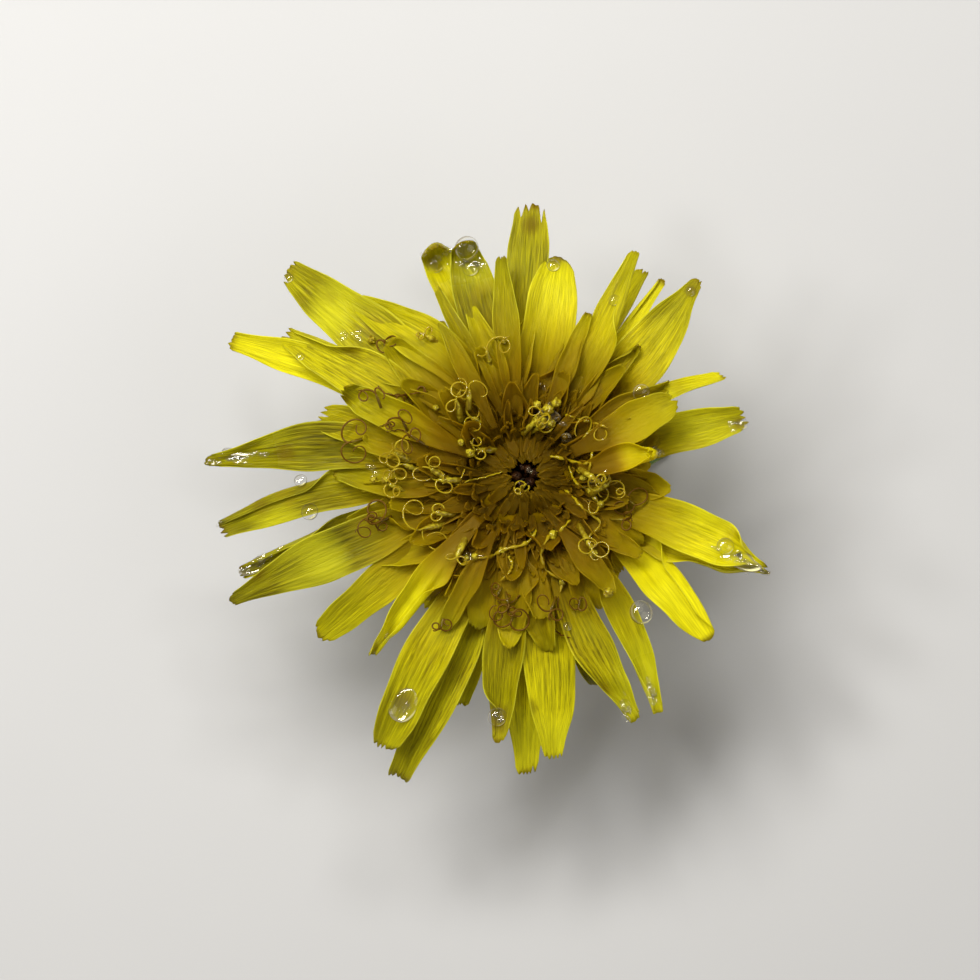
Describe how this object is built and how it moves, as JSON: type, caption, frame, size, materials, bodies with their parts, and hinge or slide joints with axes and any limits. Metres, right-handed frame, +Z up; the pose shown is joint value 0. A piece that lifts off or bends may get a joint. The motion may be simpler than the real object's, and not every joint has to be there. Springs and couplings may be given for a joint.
{
  "type": "dandelion flower head",
  "caption": "Yellow dandelion flower head picked with a stub of its hollow stalk, face up: toothed ligules in layers, curled styles, dark closed buds in the middle and green bracts below.",
  "frame": {"origin": "middle of the head's outline seen from above, on the surface that it rests on", "axes": "+Z up out of the open face of the head; +X and +Y are the right and the top of the picture, which looks straight down"},
  "size_m": [0.0304, 0.0314, 0.0144],
  "materials": {
    "stalk": "satin",
    "bract": "satin",
    "petal": "satin",
    "bud": "satin",
    "dew": "gloss"
  },
  "bodies": {
    "root": {"scape": "stalk", "involucre": "bract", "florets": "petal", "central_buds": "bud"}
  },
  "joints": []
}
